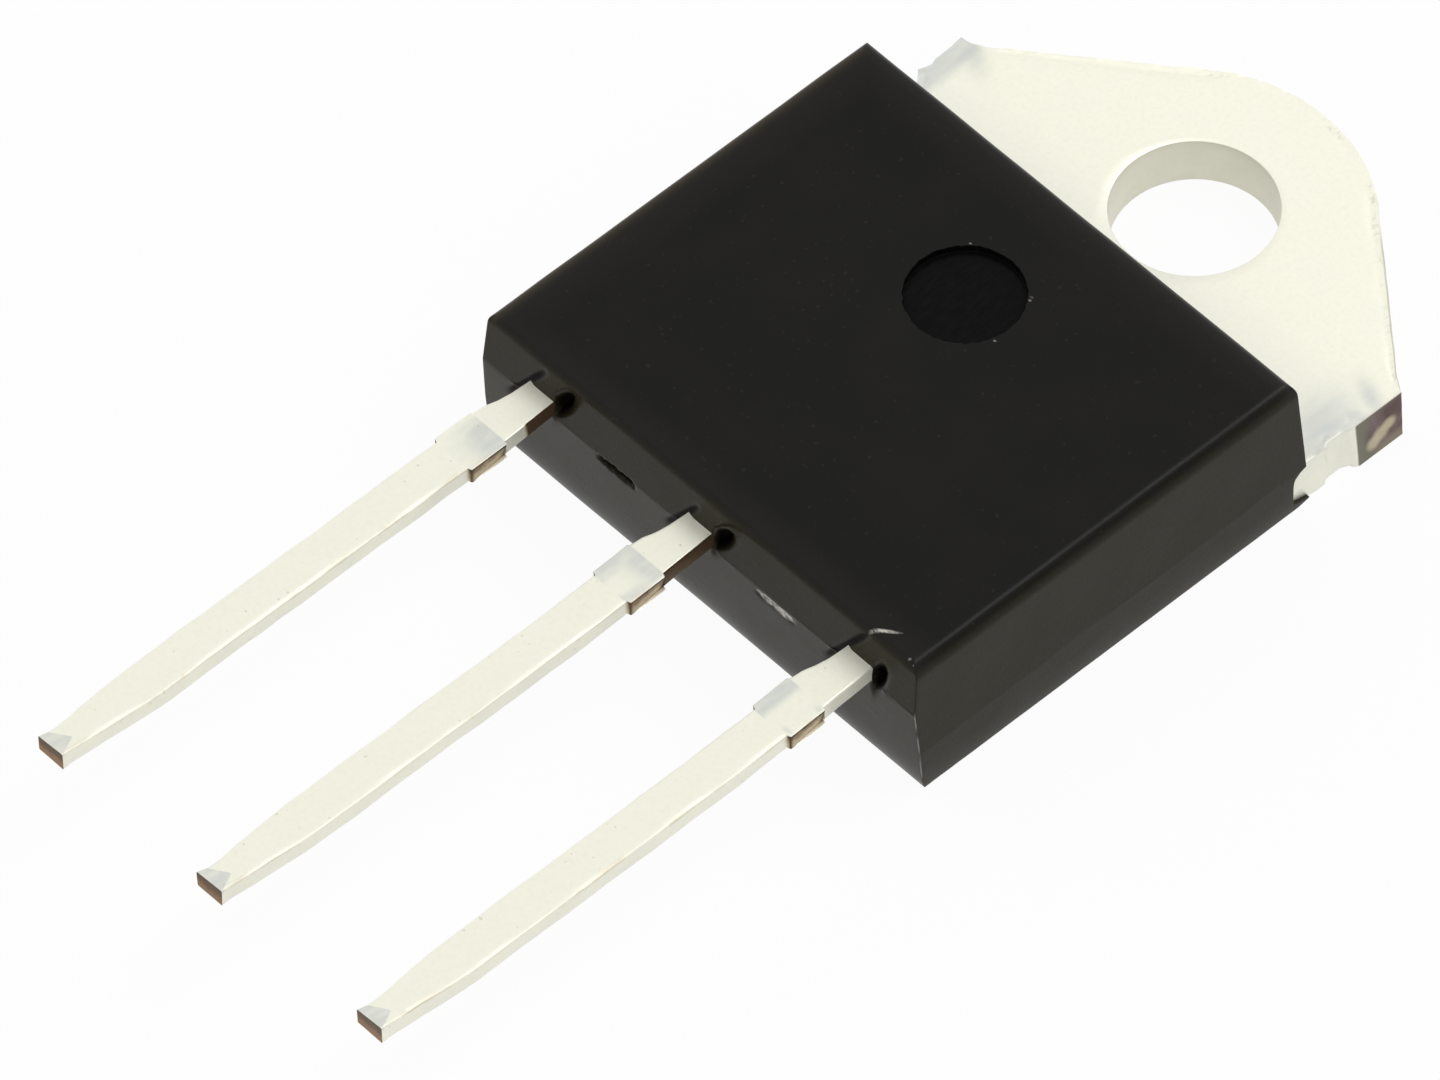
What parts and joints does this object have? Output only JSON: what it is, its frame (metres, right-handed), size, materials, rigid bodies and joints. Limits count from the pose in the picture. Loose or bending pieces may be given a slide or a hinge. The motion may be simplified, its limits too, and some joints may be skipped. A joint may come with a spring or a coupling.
{
  "type": "triac",
  "caption": "Insulated power triac: flat black moulding with a metal screw tab at one end and parallel solder leads at the other.",
  "frame": {"origin": "axis of the mounting hole, on the flat back face that sits on a heatsink", "axes": "+X across the leads from main terminal 1 to the gate, +Y from the leads to the tab, +Z from the back face to the marked face"},
  "size_m": [0.0153, 0.0357, 0.0045],
  "materials": {
    "plated_header": "thin bright nickel plating on copper, satin, with stamping burrs and bare copper on cut edges",
    "tinned_leads": "bright tin on copper, with bare copper on the cut ends",
    "epoxy_moulding": "black mineral filled epoxy, fine matt grain on top and smoother sides",
    "alumina": "white sintered alumina, metallised on both faces",
    "silicon": "polished silicon with metallised terminals and a glass filled edge groove",
    "copper_clips": "bare rolled copper",
    "soft_solder": "dull high-temperature solder"
  },
  "bodies": {
    "root": {"heatsink_tab": "plated_header", "moulded_body": "epoxy_moulding", "main_terminal_1_lead": "tinned_leads", "main_terminal_2_lead": "tinned_leads", "gate_lead": "tinned_leads", "ceramic_insulator": "alumina", "triac_die": "silicon", "main_clip": "copper_clips", "gate_clip": "copper_clips", "header_solder": "soft_solder", "die_pad_solder": "soft_solder", "die_solder": "soft_solder", "main_foot_solder": "soft_solder", "gate_foot_solder": "soft_solder", "main_lead_solder": "soft_solder", "gate_lead_solder": "soft_solder"}
  },
  "joints": []
}
